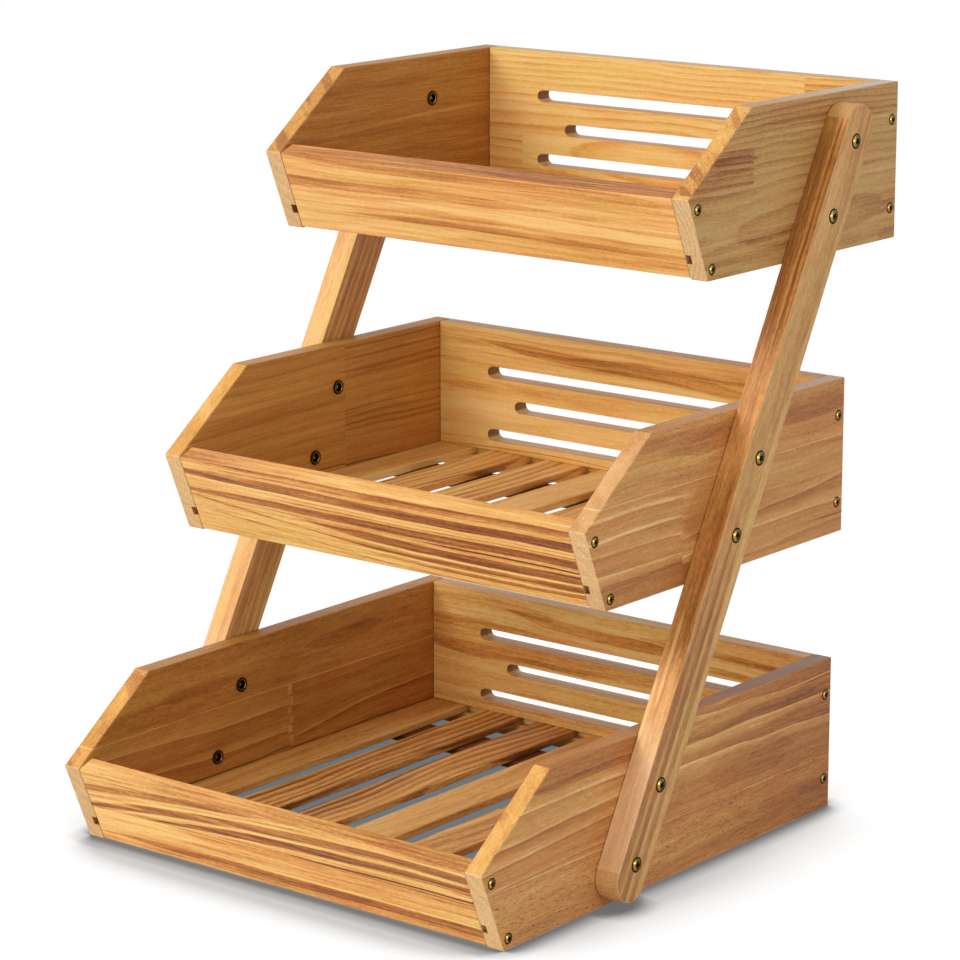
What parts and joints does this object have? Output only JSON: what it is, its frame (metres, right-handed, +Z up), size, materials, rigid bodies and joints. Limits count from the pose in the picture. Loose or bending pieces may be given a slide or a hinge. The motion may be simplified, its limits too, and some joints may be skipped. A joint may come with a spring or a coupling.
{
  "type": "tiered basket stand",
  "caption": "Tiered wooden fruit basket stand: open slatted crates with low leaning fronts, stepped back as they rise and bolted between two leaning legs.",
  "frame": {"origin": "on the surface that the stand rests on, under the middle of the whole stand's length and width", "axes": "+Z up, +X to the right of a viewer who faces the stand's front, -Y towards that viewer"},
  "size_m": [0.4446, 0.509, 0.558],
  "materials": {
    "side_panel": "planed pine, lightly toasted, satin oil",
    "front_board": "planed pine with toasted grain stripes, satin oil",
    "back_board": "planed pine, golden, satin oil",
    "slat": "planed pine with toasted grain stripes, satin oil",
    "batten": "planed pine, satin oil",
    "leg": "planed pine, lightly toasted, satin oil",
    "bolt": "yellow zinc plating, semi-gloss"
  },
  "bodies": {
    "root": {"bottom_side_left": "side_panel", "bottom_side_right": "side_panel", "bottom_front_board": "front_board", "bottom_back_board": "back_board", "bottom_slat_1": "slat", "bottom_slat_2": "slat", "bottom_slat_3": "slat", "bottom_slat_4": "slat", "bottom_slat_5": "slat", "bottom_slat_6": "slat", "bottom_slat_7": "slat", "bottom_batten_front": "batten", "bottom_batten_rear": "batten", "middle_side_left": "side_panel", "middle_side_right": "side_panel", "middle_front_board": "front_board", "middle_back_board": "back_board", "middle_slat_1": "slat", "middle_slat_2": "slat", "middle_slat_3": "slat", "middle_slat_4": "slat", "middle_slat_5": "slat", "middle_slat_6": "slat", "middle_slat_7": "slat", "middle_batten_front": "batten", "middle_batten_rear": "batten", "top_side_left": "side_panel", "top_side_right": "side_panel", "top_front_board": "front_board", "top_back_board": "back_board", "top_slat_1": "slat", "top_slat_2": "slat", "top_slat_3": "slat", "top_slat_4": "slat", "top_slat_5": "slat", "top_slat_6": "slat", "top_slat_7": "slat", "top_batten_front": "batten", "top_batten_rear": "batten", "leg_left": "leg", "leg_right": "leg", "leg_bolt_left_bottom_lower": "bolt", "leg_bolt_left_bottom_upper": "bolt", "leg_bolt_left_middle_lower": "bolt", "leg_bolt_left_middle_upper": "bolt", "leg_bolt_left_top_lower": "bolt", "leg_bolt_left_top_upper": "bolt", "leg_bolt_right_bottom_lower": "bolt", "leg_bolt_right_bottom_upper": "bolt", "leg_bolt_right_middle_lower": "bolt", "leg_bolt_right_middle_upper": "bolt", "leg_bolt_right_top_lower": "bolt", "leg_bolt_right_top_upper": "bolt"}
  },
  "joints": []
}
